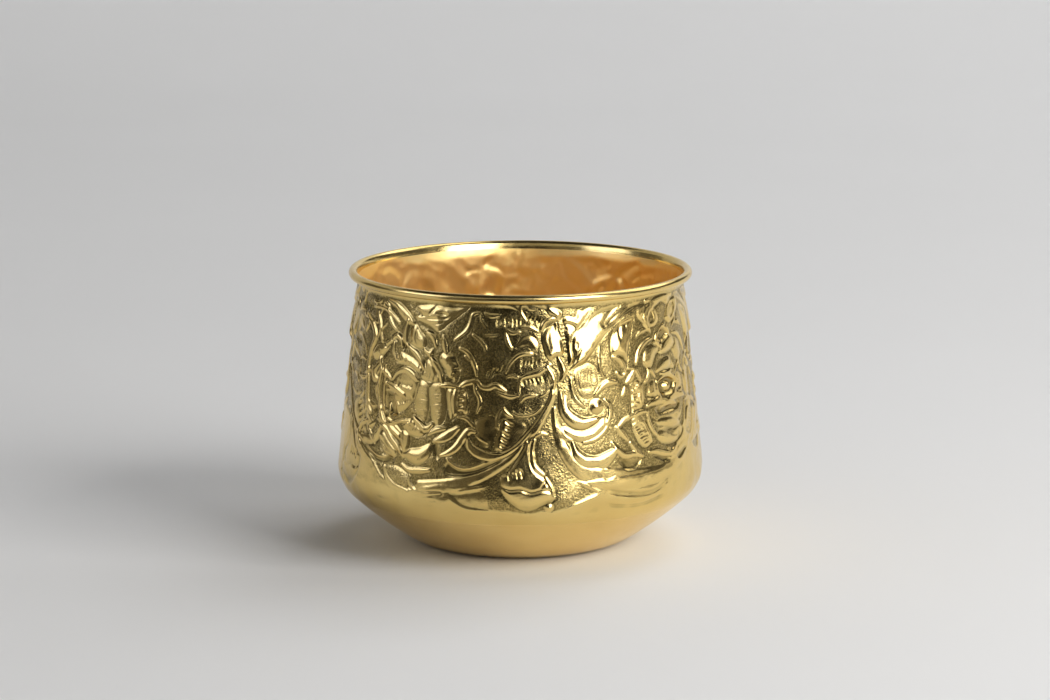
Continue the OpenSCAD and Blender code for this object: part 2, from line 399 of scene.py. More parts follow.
def flower_b_left(c):
    """The near half of the right-hand flower: curled petals one over another."""
    c.dish(0.35, [(46, 76), (46.6, 70), (46.2, 64), (48, 63.4), (48.2, 70), (48, 77)], mat=0)
    c.lobe(0.7, [(48, 65.4), (48, 70), (49.4, 75), (52.4, 75.6), (54.6, 72.4), (54.4, 67.4), (52, 64.6),
                 (49.6, 64.4)], crown=0.5, edge=1.2)
    c.hatch(0.3, (49.6, 66), (50.4, 74), 8, 1.4, lean=14, w=0.36)
    c.ridge(0.7, [(52.6, 66, 0.6), (52.4, 70, 1.1), (53.4, 73.6, 0.7)])
    c.ridge(0.9, [(45.4, 75.4, 0.5), (47.8, 77, 1.4), (49.6, 79.6, 0.8)], moat=0.4)
    c.ridge(0.6, [(46.4, 81.2, 0.5), (50, 80.6, 0.8), (51.8, 78.2, 0.8), (53, 75.6, 0.4)])
    c.ridge(0.7, [(57, 80.8, 0.5), (58, 78.4, 0.8), (57, 76, 0.8), (55, 74.2, 0.4)], moat=0.3)
    c.ridge(0.7, [(56.4, 81.2, 0.5), (59.4, 78.8, 0.8), (62, 75.6, 0.4)], moat=0.3)
    c.ridge(0.9, [(51, 82.2, 0.5), (52.6, 86, 1.1), (55.2, 88.8, 1.1), (58.4, 90.6, 0.8),
                  (62.4, 91.2, 0.4)], moat=0.4)
    c.lobe(0.8, [(55, 82), (56, 86.4), (59.4, 88.6), (64, 88.4), (66.6, 86.6), (63.6, 84.4), (60.6, 80.4),
                 (57.6, 79.8)], crown=0.5, mat=0.25)
    c.ridge(0.7, [(65.4, 87.6, 0.5), (64.8, 91.2, 0.9), (67.2, 94, 0.8), (71.6, 95.8, 0.5)], moat=0.35)
    c.dish(0.5, [(66.4, 88.4), (66.4, 92), (70, 93.6), (73.6, 92.6), (73, 90), (69.6, 88)], mat=0)
    c.ridge(0.7, [(52.6, 93.2, 0.5), (55.6, 94.8, 0.9), (59.6, 95, 0.5)], mat=0.2)
    c.ridge(1.0, [(61, 94.2, 0.6), (58.6, 97.6, 1.8), (59.6, 101.6, 2.1), (64.4, 104.8, 1.8),
                  (71, 106.4, 1.4), (80, 106.2, 1.0)], moat=0.4)
    c.lobe(0.9, [(72.4, 98), (73.6, 101.4), (76, 104), (80, 105), (84.6, 104.8), (86, 101), (83, 98),
                 (78, 95.6), (74.6, 96)], crown=0.6)
    c.dish(0.5, [(75, 98.4), (76.4, 102.2), (80.6, 103.4), (81, 100), (78, 97)], mat=0)
    c.lobe(1.0, [(47.8, 61), (47.2, 57.6), (48.6, 53.6), (51, 50), (53.8, 48.8), (56.4, 50.6), (55.6, 55),
                 (54, 60), (52, 62.6), (49.6, 62.6)], crown=0.5, edge=1.2, moat=0.5)
    c.hatch(0.38, (53.8, 51), (49.6, 57.6), 7, 1.9, lean=-22, w=0.38)
    c.ridge(0.7, [(47.8, 60.4, 0.7), (50, 62.8, 1.0), (53, 63.2, 0.8), (55.6, 62.6, 0.4)])
    c.ridge(0.6, [(50.2, 59.8, 0.4), (53.2, 58.6, 0.9), (55.2, 55, 0.9), (56.8, 50.8, 0.5)], moat=0.3)
    c.ridge(0.7, [(55.6, 63, 0.5), (56.4, 58.4, 0.9), (58.4, 54.4, 0.7), (61.6, 52, 0.4)], moat=0.45)
    c.ridge(1.0, [(55.6, 65, 0.6), (60, 66.4, 1.6), (66, 66, 1.5), (71, 64.4, 1.2), (75.6, 63, 0.6)],
            moat=0.3)
    c.dish(0.55, [(60.6, 63.2), (62, 60.8), (66, 60.2), (71, 60.4), (74.4, 61.2), (70, 63), (65, 64)],
           mat=0)
    c.lobe(0.8, [(58, 60.8), (60.4, 58.4), (63, 59), (68, 58.8), (74, 57.6), (78, 54.6), (72, 53.6),
                 (66, 55), (61, 57)], crown=0.5)
    c.lobe(0.7, [(60, 52.4), (63, 54.4), (68, 53), (73, 51.2), (76.4, 51.6), (74, 48.4), (68, 48),
                 (62.6, 49.4)], crown=0.5)
    c.ridge(0.7, [(55, 46.8, 0.6), (59, 46.6, 1.2), (64, 45, 1.3), (68.4, 44.4, 1.0), (73, 46.4, 0.6)],
            moat=0.3)
    c.dish(0.5, [(57, 44.6), (60, 43.2), (65, 40.8), (67.4, 42), (64, 43.6), (60, 45)], mat=0)
    c.lobe(0.8, [(56.4, 67.4), (56.6, 71), (58, 74), (61, 74.6), (63, 72), (62.4, 68.4), (60, 66.8)],
           crown=0.4)
    c.hatch(0.25, (57.4, 68.4), (60.6, 68), 4, 1.6, lean=80, w=0.36)
    c.ridge(0.7, [(62.8, 74, 0.6), (62.6, 70.6, 1.0), (64.4, 67.4, 0.5)], moat=0.3)
    c.dish(0.6, [(64, 73.6), (64.6, 69), (68, 67.4), (73, 68), (77, 70.4), (76.4, 72.8), (70, 74.4)], mat=0)
    c.bead(0.8, 70.2, 70.8, 1.8)
    c.ridge(0.8, [(65.6, 76.6, 0.5), (70, 76.2, 1.1), (74.4, 74.2, 1.0), (78, 71.8, 0.5)], moat=0.3)
    c.lobe(0.8, [(62.6, 77.4), (64.4, 80.4), (68, 82.2), (73, 82.4), (75, 79.6), (72, 77.8), (67, 77.6)],
           crown=0.5)
    c.lobe(0.9, [(67, 85.4), (69.4, 89), (74, 91), (78, 89.6), (78.4, 86.6), (74, 84.6), (70, 84.2)],
           crown=0.5)


def dark_scrolls(c):
    """The leaves and tendrils between the left-hand flower and the junction."""
    c.ridge(0.6, [(-17, 105.2, 0.5), (-19.8, 104.2, 0.8), (-20.8, 101.2, 0.8), (-22.6, 97.8, 0.8),
                  (-27.6, 93.8, 0.5)], moat=0.35)
    c.ridge(0.45, [(-16.4, 104.6, 0.5), (-16, 102.2, 0.6), (-14.2, 99.6, 0.5)])
    c.ridge(0.6, [(-14.6, 105, 0.5), (-12, 104, 1.0), (-8.4, 104.4, 0.5)])
    c.ridge(0.4, [(-8.2, 108, 0.5), (-4, 107.8, 0.6), (-0.6, 106.4, 0.4)])
    c.ridge(0.6, [(0, 108.6, 0.6), (0.2, 105.4, 0.8), (2.2, 102.4, 0.5)])
    c.ridge(0.6, [(2.6, 108.6, 0.4), (4.2, 107, 0.9), (7, 106.8, 0.4)])
    c.hatch(0.42, (-9.4, 101.4), (0.4, 102), 7, 1.9, lean=-4, w=0.45)
    c.hatch(0.36, (3.4, 103.6), (8.6, 101.6), 5, 1.6, lean=-12, w=0.42)
    c.ridge(0.6, [(-5.6, 98.8, 0.5), (-3.4, 97.5, 0.8), (0, 97.9, 0.4)])
    c.ridge(0.8, [(-6, 97.4, 0.5), (-5.2, 94, 0.9), (-3.3, 91.2, 0.4)], moat=0.35)
    c.ridge(0.4, [(-15, 96.6, 0.4), (-12, 96.3, 0.6), (-9, 96.6, 0.4)])
    c.ridge(0.5, [(0, 99.8, 0.4), (4, 99.6, 0.7), (7.2, 98.1, 0.4)])
    c.lobe(0.6, [(-1.4, 92), (0.4, 95.4), (4, 96.6), (7, 94), (7, 90), (5.4, 90.4), (3.4, 92.2), (1, 92)],
           crown=0.4)
    c.ridge(0.6, [(-19.6, 96.5, 0.5), (-16.5, 94.4, 0.8), (-14.4, 91.8, 0.7), (-13.9, 89.4, 0.4)])
    c.ridge(0.9, [(-25.2, 90.9, 0.5), (-22, 89.6, 0.9), (-19.6, 86.6, 1.0), (-18.1, 83.4, 0.9),
                  (-17.6, 80.4, 0.5)], moat=0.4)
    c.ridge(0.35, [(-22.8, 88, 0.4), (-20.8, 86.4, 0.5)])
    c.ridge(0.6, [(-5.8, 82, 0.4), (-4.6, 85, 0.7), (-2, 88, 0.8), (1, 89.4, 0.8), (4.8, 89.4, 0.5)],
            moat=0.35)
    c.hatch(0.36, (0.9, 86), (6.8, 86.6), 5, 1.7, lean=-16, w=0.42)
    c.hatch(0.34, (1, 78.3), (9, 79.9), 6, 1.8, lean=14, w=0.48)
    c.ridge(0.8, [(0.2, 80, 0.5), (3.4, 81.3, 1.0), (7.4, 82.4, 1.2), (11.8, 85, 0.7)], moat=0.3)
    c.ridge(0.5, [(-0.6, 72.8, 0.4), (-0.7, 76.6, 0.7), (0.4, 80, 0.5)])
    c.ridge(0.4, [(-5.8, 80.2, 0.4), (-3, 80.9, 0.6), (-0.6, 80.1, 0.4)])
    c.hatch(0.36, (-13.2, 81.2), (-7.6, 82.8), 4, 1.9, lean=-38, w=0.42)
    c.ridge(0.9, [(-25.4, 75, 0.5), (-22.4, 77.2, 1.0), (-19.6, 78, 1.0), (-17.6, 78.4, 0.9),
                  (-15.4, 76.2, 0.9), (-12.6, 76.1, 1.1), (-10, 77.1, 1.1), (-7.8, 76, 0.9),
                  (-5.6, 74.8, 0.4)], moat=0.4)
    c.ridge(0.5, [(-9.4, 74.6, 0.4), (-6.6, 73.4, 0.7), (-3.6, 72.7, 0.8), (-1.2, 73.2, 0.4)])
    c.ridge(0.6, [(-18.4, 77.4, 0.6), (-17.9, 74.5, 0.7), (-16.3, 72, 0.8), (-16, 69.3, 0.8),
                  (-17.2, 66, 0.4)], moat=0.35)
    c.ridge(0.6, [(0, 70.6, 0.4), (1.2, 72.4, 0.8), (3.2, 73.1, 0.8), (6.4, 73.3, 0.4)])
    c.ridge(0.6, [(8, 72.8, 0.4), (11, 74.8, 0.8), (13.6, 77.6, 0.6)])
    c.ridge(0.6, [(-6.7, 68.2, 0.4), (-5.5, 66.2, 0.8), (-3.2, 64.9, 0.5)])
    c.ridge(0.45, [(-3.4, 66.8, 0.4), (-0.6, 65.5, 0.6), (2.4, 65.5, 0.6), (5.6, 66.4, 0.6),
                   (8.6, 69, 0.4)])
    c.ridge(0.6, [(-7.8, 67.6, 0.4), (-8.9, 64.6, 0.7), (-9.1, 61.6, 0.7), (-8.2, 59.8, 0.4)])
    c.lobe(0.5, [(-8.6, 58.6), (-7, 63), (-2.6, 64), (2.4, 61.6), (1.4, 57), (-3, 52), (-6.6, 50.4),
                 (-10, 51.2), (-10, 54.6)], crown=0.1, edge=1.2)
    c.hatch(0.4, (-4.2, 62.4), (-7.6, 51), 6, 1.7, lean=-16, w=0.5)
    c.lobe(0.8, [(-18.6, 61.4), (-15.8, 63.8), (-10.4, 64.8), (-9.6, 60), (-10.8, 55), (-13, 52.4),
                 (-16, 55), (-17.6, 58)], crown=0.15, edge=1.2)
    c.ridge(0.6, [(-25.6, 64, 0.4), (-22, 63.9, 0.8), (-19.4, 62, 0.8), (-18.2, 60, 0.4)], moat=0.35)
    c.ridge(0.35, [(-18.4, 58.6, 0.4), (-16.2, 56.4, 0.5), (-13, 54.6, 0.4)])
    c.lobe(0.35, [(-28.6, 47.6), (-26, 51), (-23, 54.6), (-20.6, 51), (-15, 47.8), (-10.6, 47.4),
                  (-15, 45.4), (-22, 44), (-26.4, 44.8)], crown=0.1, mat=0.9, moat=0.2)
    c.ridge(0.45, [(-29, 47.6, 0.4), (-26.6, 45.2, 0.6), (-21.8, 44.1, 0.7), (-17.6, 45, 0.6),
                   (-13.6, 46.9, 0.4)])
    c.dish(0.5, [(-30, 43.4), (-28, 40.8), (-20, 41.4), (-12, 44.4), (-5.6, 48.8), (-11, 47.2),
                 (-18, 44.2), (-24, 43.6), (-28.4, 46)])
    c.ridge(1.0, [(-20.7, 56.4, 0.6), (-19.6, 53, 1.5), (-16.4, 50.4, 1.9), (-11.6, 49.2, 1.7),
                  (-6.6, 50, 1.1), (-1.6, 53.2, 0.8), (3.4, 58.6, 0.7), (8.2, 65, 0.7), (11.8, 71.4, 0.7),
                  (13, 77, 0.6)], moat=0.4)
    c.ridge(1.0, [(-31.6, 48.3, 0.5), (-28.4, 49.6, 1.1), (-25.2, 52, 1.4), (-22.6, 56, 1.4),
                  (-20.2, 58.8, 1.3), (-17.6, 58.6, 0.5)], moat=0.4)
    c.ridge(1.1, [(-34.8, 53.6, 0.6), (-31.2, 55, 1.6), (-28, 57, 1.8), (-24.8, 59.6, 1.0)], moat=0.4)
    c.dish(0.5, [(-35.4, 52.4), (-34.8, 48.4), (-33, 46.4), (-32.4, 50), (-33.4, 53)], mat=0)


def flower_a(c):
    """The left-hand flower: ringed petals with fine hatching round a curled heart."""
    c.lobe(0.5, [(-44.6, 74), (-44.6, 67.6), (-42.6, 62.4), (-39.8, 60.4), (-38.2, 63), (-37.8, 69),
                 (-38.6, 74.6), (-41.6, 77)], crown=0.15, edge=2.0, moat=0.3)
    c.hatch(0.16, (-41.4, 63), (-41.4, 73.4), 9, 1.9, w=0.34)
    c.lobe(0.5, [(-37.8, 74), (-37, 67.6), (-36.2, 62), (-33.2, 59.8), (-30.6, 62.6), (-30, 69),
                 (-31.2, 74.6), (-34.6, 76.6)], crown=0.15, edge=2.0, moat=0.3)
    c.hatch(0.14, (-33.6, 63), (-34.2, 73.6), 9, 1.9, w=0.34)
    c.lobe(0.8, [(-42, 78), (-41, 83), (-37.6, 86.4), (-34.6, 84.6), (-33, 80.6), (-33, 77.6),
                 (-37, 76.8)], crown=0.4)
    c.hatch(0.16, (-40, 80), (-35, 79.6), 6, 2.4, w=0.34)
    c.lobe(0.8, [(-30, 74), (-29, 66), (-27.8, 62.4), (-25.6, 64), (-21, 65.6), (-20.6, 70), (-22, 74.6),
                 (-26, 75.4)], crown=0.3)
    c.hatch(0.42, (-23.6, 66), (-23.6, 73), 4, 1.1, w=0.42)
    c.ridge(0.5, [(-26.2, 74.4, 0.5), (-26.8, 70, 0.8), (-26.2, 65, 0.5)], moat=0.35)
    c.ridge(0.5, [(-21.8, 73.6, 0.4), (-21.2, 70, 0.7), (-21.9, 65.8, 0.4)])
    c.ridge(0.6, [(-33.6, 75.6, 0.5), (-30, 76.1, 0.9), (-26.6, 75.8, 0.7), (-24.4, 75.2, 0.5)])
    c.lobe(0.9, [(-34, 86), (-32, 88.8), (-28, 88.4), (-25.8, 84.4), (-24.8, 80.6), (-26.4, 77.2),
                 (-29, 78.8), (-32, 82.6)], crown=0.5)
    c.hatch(0.34, (-27.4, 78.4), (-26, 82.4), 5, 1.5, lean=28, w=0.38)
    c.hatch(0.14, (-30.4, 82), (-28, 86.4), 5, 2.0, lean=20, w=0.34)
    c.lobe(0.9, [(-49.8, 59.6), (-46, 61.4), (-44.6, 62.8), (-41.6, 60.6), (-38, 58), (-40, 55),
                 (-45, 54.6), (-48.6, 56)], crown=0.5)
    c.hatch(0.3, (-48.6, 57.6), (-43.4, 58.4), 6, 1.8, lean=10, w=0.36)
    c.ridge(1.1, [(-44.8, 62.4, 0.5), (-41.6, 60, 1.2), (-38.4, 58.2, 1.5), (-36, 60.2, 0.8)], moat=0.4)
    c.ridge(0.7, [(-37.4, 56, 0.5), (-34, 58.2, 1.1), (-30.4, 59, 0.7)], moat=0.3)
    c.lobe(0.7, [(-57.6, 75.6), (-55, 79), (-50.6, 80.8), (-46, 80), (-43.6, 76.8), (-44.4, 72),
                 (-47, 67), (-51, 63.6), (-56, 62.4), (-60, 64), (-61.2, 69), (-60, 73)], crown=0.2,
           edge=1.6, moat=0.5)
    c.ridge(0.8, [(-57.6, 75.6, 0.4), (-55, 78.6, 0.8), (-50.4, 80.3, 1.1), (-46.4, 79, 1.3),
                  (-43.8, 76.8, 0.7)], moat=0.35)
    c.hatch(0.24, (-54, 74.6), (-47, 74.4), 8, 1.5, lean=-10, w=0.36)
    c.hatch(0.3, (-53, 67), (-47.4, 69.4), 6, 1.6, lean=12, w=0.38)
    c.dish(0.6, [(-60.4, 70.4), (-60, 66), (-58.6, 61.6), (-54, 61.4), (-53.6, 64), (-55, 68),
                 (-56, 70.6)], mat=0.2)
    c.ridge(0.9, [(-60.4, 73.4, 0.6), (-56, 72.4, 1.2), (-50.4, 70.2, 0.9)], moat=0.5)
    c.ridge(0.6, [(-58, 65.4, 0.5), (-57.4, 62.8, 0.9), (-57.8, 60.8, 0.5)])
    c.lobe(0.7, [(-55.4, 82.4), (-54.4, 86.4), (-50, 86), (-45.4, 84.4), (-42, 81.8), (-43.4, 80),
                 (-47.6, 81.4), (-52, 82)], crown=0.3)
    c.hatch(0.24, (-53.8, 84.4), (-43.6, 82), 11, 1.5, w=0.34, bow=0.5)
    c.ridge(1.1, [(-50, 89.8, 0.6), (-46, 87.6, 1.4), (-42.8, 84.8, 1.3), (-41, 81.6, 0.6)], moat=0.4)
    c.ridge(1.0, [(-38.4, 86.6, 0.6), (-35.6, 84, 1.2), (-33.2, 80.6, 1.1), (-32.2, 77, 0.5)], moat=0.4)
    c.ridge(0.9, [(-58.6, 91.6, 0.6), (-56.6, 92.8, 1.0), (-54, 91.6, 1.0), (-53.4, 89.2, 0.7)], moat=0.5)
    c.ridge(1.0, [(-57.6, 90.4, 0.7), (-57.8, 87, 1.3), (-56, 83.8, 0.7)], moat=0.35)
    c.dish(0.5, [(-61, 92), (-59, 94.4), (-55.4, 95), (-51.6, 93), (-51.4, 88.6), (-53, 87.4),
                 (-52.6, 91.4), (-56, 94)], mat=0)
    c.ridge(1.2, [(-63.6, 106.2, 0.6), (-57.4, 104.6, 1.6), (-51.6, 101, 2.1), (-47.2, 98.4, 0.9)],
            moat=0.4)
    c.ridge(1.1, [(-50.4, 99.6, 0.8), (-52, 95.6, 1.5), (-51.4, 91.4, 1.2), (-49.6, 89.6, 0.6)], moat=0.4)
    c.lobe(0.9, [(-49.8, 94.6), (-48.6, 97.4), (-46.4, 98.6), (-43.6, 96), (-40.8, 93.4), (-40.6, 90.4),
                 (-44, 89), (-47.8, 89.8), (-49.6, 91.8)], crown=0.4, moat=0.5)
    c.groove(0.6, [(-48.6, 96.6), (-48.8, 93.6), (-47.6, 90.8)], 0.6)
    c.groove(0.4, [(-45.6, 96.4), (-45.8, 93), (-44.4, 90)], 0.5)
    c.ridge(0.9, [(-40.6, 96.2, 0.6), (-37.4, 94.6, 1.4), (-35.8, 91, 0.7)], moat=0.4)
    c.ridge(0.9, [(-32.8, 95.2, 0.5), (-31.9, 92, 1.2), (-31, 88.8, 0.7)], moat=0.4)
    c.ridge(0.8, [(-41.4, 89.2, 0.5), (-38.6, 87.8, 1.2), (-37.4, 89.4, 0.6)], moat=0.3)


def top_leaf_a(c):
    """The forked leaf over the left-hand flower and the leaves at its left."""
    c.lobe(0.9, [(-46.6, 101), (-44.4, 102.4), (-46.6, 105.4), (-42, 106.6), (-37.6, 107.4), (-31, 106.6),
                 (-25, 107), (-21.4, 107), (-25.6, 103.6), (-30.6, 100), (-35, 96.8), (-40, 99)],
           crown=0.4, edge=1.2)
    c.groove(0.45, [(-45.8, 105), (-43.6, 102.4), (-40, 102.8), (-37.8, 105), (-35.6, 107.2)], 0.5)
    c.groove(0.4, [(-43, 101), (-38.6, 101.4), (-33, 101.8), (-28.6, 103.4)], 0.45)
    c.groove(0.35, [(-39.4, 99.6), (-36, 99.6), (-31.8, 100.6)], 0.4)
    c.dish(0.5, [(-36.6, 103.8), (-33.6, 104.2), (-31, 103.6), (-33.4, 102.8)], edge=0.8, mat=0)
    c.groove(0.4, [(-47, 100.4), (-42.6, 98.4), (-38, 96.8), (-35.4, 93.6), (-34.4, 89.6)], 0.8)
    c.ridge(0.7, [(-74.6, 102, 0.4), (-70, 102.8, 0.8), (-64.6, 102.4, 0.9), (-60, 100.6, 0.8),
                  (-55.6, 98, 0.5)], moat=0.5)
    c.ridge(0.9, [(-70.6, 100.4, 0.5), (-68.6, 97, 1.2), (-67.6, 93.4, 1.1), (-65.8, 89.2, 0.6)], moat=0.4)
    c.lobe(0.7, [(-73.6, 83.6), (-70.6, 87.4), (-65, 88.8), (-61.8, 87), (-65.6, 83.2), (-70.4, 81.2)],
           crown=0.5)
    c.lobe(0.7, [(-72.6, 78.6), (-69.6, 79.6), (-66.6, 80.4), (-67.8, 76.6), (-66.4, 73.4), (-70, 72.6),
                 (-72.8, 75)], crown=0.4)
    c.ridge(1.0, [(-66.6, 85, 0.6), (-64.9, 78, 1.1), (-65.6, 71.6, 1.1), (-64.8, 65.6, 1.2),
                  (-62.6, 60.4, 1.3), (-59, 57.6, 0.8), (-52, 59.4, 0.7), (-47, 60.6, 0.4)], moat=0.5)
    c.ridge(0.7, [(-62.4, 80.4, 0.5), (-61.9, 74, 0.9), (-61.9, 67, 1.0), (-60.6, 62, 0.6)], moat=0.3)
    c.ridge(1.1, [(-80.6, 98.4, 0.7), (-74, 94.6, 1.5), (-71.4, 90.4, 1.6), (-73.6, 85.6, 1.4),
                  (-75.4, 79, 1.4), (-74.6, 72, 1.6), (-73.4, 65, 1.4), (-70.6, 60.2, 0.7)], moat=0.5)
    c.dish(0.4, [(-72.6, 64), (-69.6, 62.8), (-65.4, 63), (-64.8, 58), (-67.4, 56.4), (-70.6, 59)], mat=0.4)
    c.ridge(0.9, [(-62.6, 56.6, 0.5), (-59.2, 55.6, 1.3), (-56, 52.4, 1.3), (-52.4, 49.6, 1.1),
                  (-48.6, 46, 0.8)], moat=0.4)
    c.ridge(1.0, [(-58.8, 57.8, 0.5), (-54.6, 55, 1.3), (-50, 52.6, 0.9)], moat=0.45)
    c.lobe(0.8, [(-63.4, 52.6), (-61.6, 48), (-57.8, 45.2), (-53.4, 44.8), (-52.6, 48), (-56.6, 51.4),
                 (-60.6, 54.6)], crown=0.3, moat=0.5)
    c.ridge(0.8, [(-61.8, 50.2, 0.5), (-58.6, 47, 1.1), (-54.6, 45.8, 0.7)])
    c.lobe(0.9, [(-49.6, 47), (-46, 44.4), (-42, 43.4), (-38, 45.4), (-35.6, 48.8), (-36.4, 52.4),
                 (-41, 50.6), (-46, 49.4)], crown=0.5, moat=0.45)
    c.lobe(0.6, [(-50, 56.2), (-46.2, 55.4), (-45.8, 51), (-48.4, 47.4), (-50.6, 50), (-50.8, 53.6)],
           crown=0.3)
    c.ridge(0.7, [(-49.6, 43, 0.4), (-45.6, 41, 1.0), (-40.6, 41.4, 1.2), (-36.4, 42, 0.8)], moat=0.35)
    c.lobe(0.6, [(-59, 41.4), (-57.4, 37), (-53, 33.8), (-47.4, 32.8), (-44.8, 34.6), (-45.6, 38.6),
                 (-50, 41.2), (-55, 42)], crown=0.2, mat=0.8)
    c.ridge(0.7, [(-58.8, 41.4, 0.5), (-57, 37.2, 1.0), (-52.6, 34, 1.1), (-46.6, 33, 0.6)])
    c.ridge(0.5, [(-45.4, 39.4, 0.4), (-44.4, 35.4, 0.7), (-40, 32.8, 0.7), (-31, 33.4, 0.4)])
    c.ridge(0.6, [(-76, 46, 0.6), (-78.8, 50, 1.0), (-77, 54.6, 1.0), (-72.6, 56.6, 0.6)])
    c.ridge(0.6, [(-71.4, 54, 0.5), (-68, 51.2, 0.9), (-65.6, 48.6, 0.5)])


def draw_wall():
    c = Sheet()
    stems(c)
    borders(c)
    for axis in (None, RIGHT_HEART):
        c.flip = axis
        right_scroll(c)
        crown_leaves(c)
    for axis, force in ((RIGHT_HEART, 0.5), (None, 0.75)):
        c.flip = axis
        c.force = force
        flower_b_left(c)
    for axis, force in ((LEFT_HEART, 0.3), (None, 1.0)):
        c.flip = axis
        c.force = 0.52 if axis is None else 0.4
        dark_scrolls(c)
        c.force = force
        hanging_leaf(c)
        bud(c)
    c.force = 0.9
    flower_a(c)
    top_leaf_a(c)
    return c


# ---------------------------------------------------------------- hand work on the sheet

def mottle(shape, size, steps):
    """A smooth random field with features about size mm across, of unit strength."""
    f = np.fft.rfft2(rng.standard_normal(shape))
    kr = np.fft.fftfreq(shape[0], d=steps[0])[:, None]
    kc = np.fft.rfftfreq(shape[1], d=steps[1])[None]
    f *= np.exp(-(kr ** 2 + kc ** 2) * (1.8 * size) ** 2)
    field = np.fft.irfft2(f, shape)
    return field / field.std()


def soften(field, size, steps):
    """The field blurred by a spread of size mm."""
    f = np.fft.rfft2(field)
    kr = np.fft.fftfreq(field.shape[0], d=steps[0])[:, None]
    kc = np.fft.rfftfreq(field.shape[1], d=steps[1])[None]
    return np.fft.irfft2(f * np.exp(-2 * (math.pi * size) ** 2 * (kr ** 2 + kc ** 2)), field.shape)


def stipple(shape, steps, pitch=0.76, r=0.31):
    """Small punched dimples on a jittered grid, depth 1 at their middles."""
    field = np.zeros(shape)
    rows = int(shape[0] * steps[0] / pitch)
    cols = int(shape[1] * steps[1] / pitch)
    zi, si = np.meshgrid(np.arange(rows), np.arange(cols), indexing="ij")
    z = (zi + 0.5 + rng.uniform(-0.38, 0.38, zi.shape)) * pitch / steps[0]
    s = (si + 0.5 * (zi % 2) + rng.uniform(-0.38, 0.38, zi.shape)) * pitch / steps[1]
    force = rng.uniform(0.5, 1.0, zi.shape)
    r0, c0 = np.round(z).astype(int), np.round(s).astype(int)
    for dr in range(-2, 3):
        for dc in range(-2, 3):
            d2 = ((r0 + dr - z) * steps[0]) ** 2 + ((c0 + dc - s) * steps[1]) ** 2
            inside = (r0 + dr >= 0) & (r0 + dr < shape[0])
            np.add.at(field, ((r0 + dr)[inside], (c0 + dc)[inside] % shape[1]),
                      (force * np.exp(-d2 / r ** 2))[inside])
    return field


def resample(field, rows, cols):
    """The field read between its cells. Columns wrap round."""
    rows = np.clip(rows, 0, field.shape[0] - 1.001)
    r0, c0 = np.floor(rows).astype(int), np.floor(cols).astype(int)
    fr, fc = rows - r0, cols - c0
    c1, c0 = (c0 + 1) % field.shape[1], c0 % field.shape[1]
    low = field[r0, c0] * (1 - fc) + field[r0, c1] * fc
    high = field[r0 + 1, c0] * (1 - fc) + field[r0 + 1, c1] * fc
    return low * (1 - fr) + high * fr


def full_ring(sheet):
    """Heights, matting and a mask of the hollows right round the wall. The back repeats the front, drawn a
    little differently.
    """
    rows, cols = sheet.rows, 2 * sheet.cols
    steps = (sheet.dz, sheet.ds)
    r, c = np.meshgrid(np.arange(rows, dtype=float), np.arange(cols, dtype=float), indexing="ij")
    back = smooth(1.6 * (0.5 - 0.5 * np.cos(2 * np.pi * c / cols)) - 0.55)
    c_off = back * 0.8 * mottle((rows, cols), 14, steps) / sheet.ds
    r_off = back * 0.6 * mottle((rows, cols), 14, steps) / sheet.dz
    h = resample(sheet.h, r + r_off, c + c_off)
    mat = resample(sheet.mat, r + r_off, c + c_off)
    z = FOOT_Z + r * sheet.dz
    foot = smooth((z - FOOT_Z) / 2.0)
    head = smooth((HEAD_Z - 0.6 - z) / 1.8)
    h = h * foot * head
    mat = mat * head
    h = soften(h, 0.27, steps)
    h += 0.07 * foot * head * mottle((rows, cols), 5.0, steps)
    h += 0.012 * head * foot * mottle((rows, cols), 1.6, steps)
    punched = stipple((rows, cols), steps) + 0.1 * mottle((rows, cols), 0.42, steps)
    h -= 0.065 * mat * (punched - 0.4)
    # Mask of the hollows: how far each point lies below its blurred surroundings. The brass is darkened
    # there, partly as tarnish and partly as painted shade.
    cavity = np.clip((soften(h, 2.2, steps) - h) / 0.42, 0, 1)
    return h, mat, cavity


# ---------------------------------------------------------------- meshes

def new_mesh(name, points, faces, values=None, creases=()):
    """A smooth-shaded object from points in mm. values are numbers kept at each point by name."""
    mesh = bpy.data.meshes.new(name)
    mesh.vertices.add(len(points))
    mesh.vertices.foreach_set("co", (np.asarray(points) * MM).ravel())
    sizes = np.concatenate([np.full(len(f), f.shape[1]) for f in faces])
    mesh.loops.add(int(sizes.sum()))
    mesh.loops.foreach_set("vertex_index", np.concatenate([f.ravel() for f in faces]).astype(np.int32))
    mesh.polygons.add(len(sizes))
    mesh.polygons.foreach_set("loop_start", np.concatenate([[0], np.cumsum(sizes)[:-1]]).astype(np.int32))
    mesh.polygons.foreach_set("use_smooth", np.ones(len(sizes), bool))
    mesh.update(calc_edges=True)
    mesh.validate()
    for key, data in (values or {}).items():
        mesh.attributes.new(key, "FLOAT", "POINT").data.foreach_set("value", np.asarray(data, np.float32))
    if creases:
        ends = np.zeros(2 * len(mesh.edges), np.int32)
        mesh.edges.foreach_get("vertices", ends)
        ends = ends.reshape(-1, 2)
        sharp = np.zeros(len(ends), bool)
        for first, count in creases:
            on_row = (ends >= first) & (ends < first + count)
            sharp |= on_row.all(axis=1)
        mesh.attributes.new("sharp_edge", "BOOLEAN", "EDGE").data.foreach_set("value", sharp)
    item = bpy.data.objects.new(name, mesh)
    bpy.context.collection.objects.link(item)
    return item


def ring(r, z, angles):
    """A level circle of points. Angle 0 is the front, and angles grow to the right."""
    return np.stack([r * np.sin(angles), -r * np.cos(angles), z + 0 * angles], axis=1)


def strip(first, second, count):
    """Quads between two rings of the same count."""
    i = np.arange(count)
    j = (i + 1) % count
    return np.stack([first + i, first + j, second + j, second + i], axis=1)


